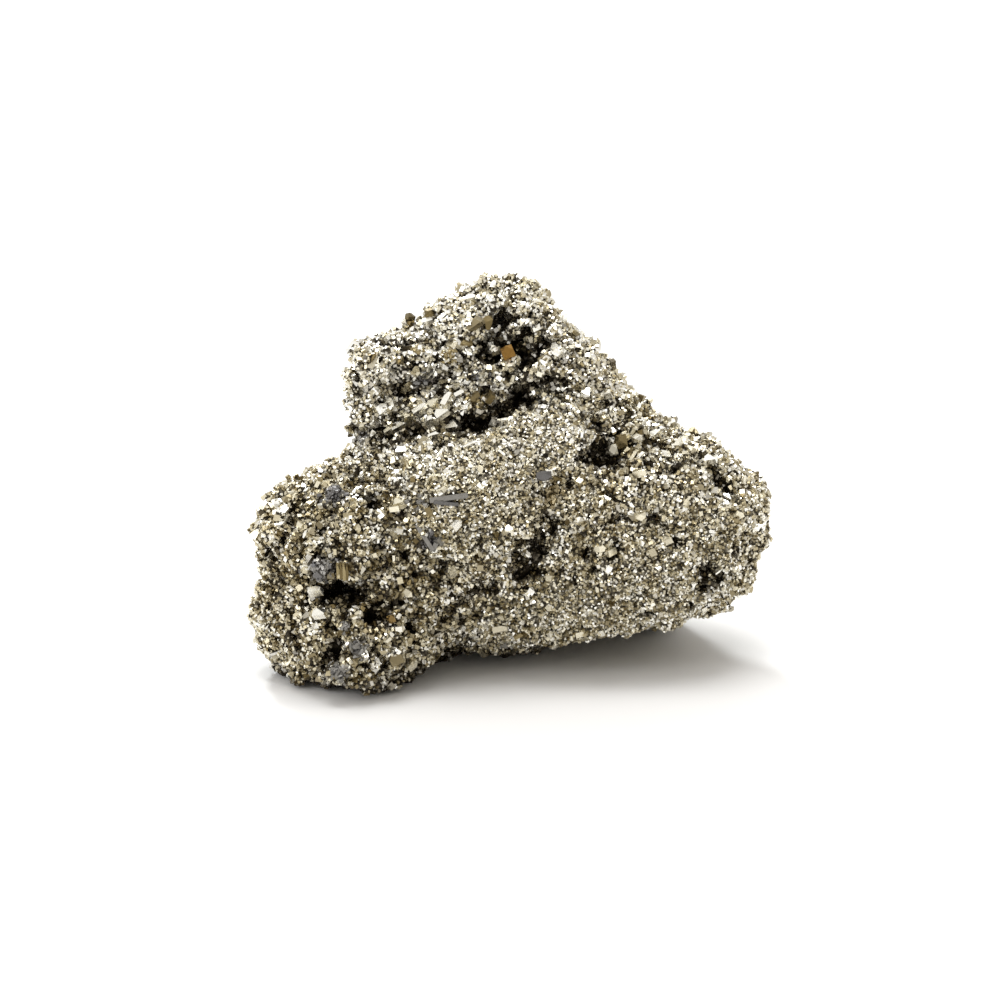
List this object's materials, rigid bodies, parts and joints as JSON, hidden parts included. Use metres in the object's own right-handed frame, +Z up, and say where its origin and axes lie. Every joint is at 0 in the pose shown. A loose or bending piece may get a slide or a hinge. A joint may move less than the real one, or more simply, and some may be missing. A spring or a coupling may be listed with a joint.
{
  "type": "pyrite specimen",
  "caption": "Hand-sized lump of intergrown pyrite crystals with an overhanging knob, a crevice and vugs, resting on its broken underside.",
  "frame": {"origin": "middle of the overall box, on the resting plane", "axes": "+X along the length towards the low ridge's end, +Y to the back away from the nose, +Z up"},
  "size_m": [0.07, 0.044, 0.051],
  "materials": {
    "pyrite": "pale brass-yellow metallic crystal faces, bright on the facets and nearly black in the vugs"
  },
  "bodies": {
    "root": {"pyrite_cluster": "pyrite"}
  },
  "joints": []
}
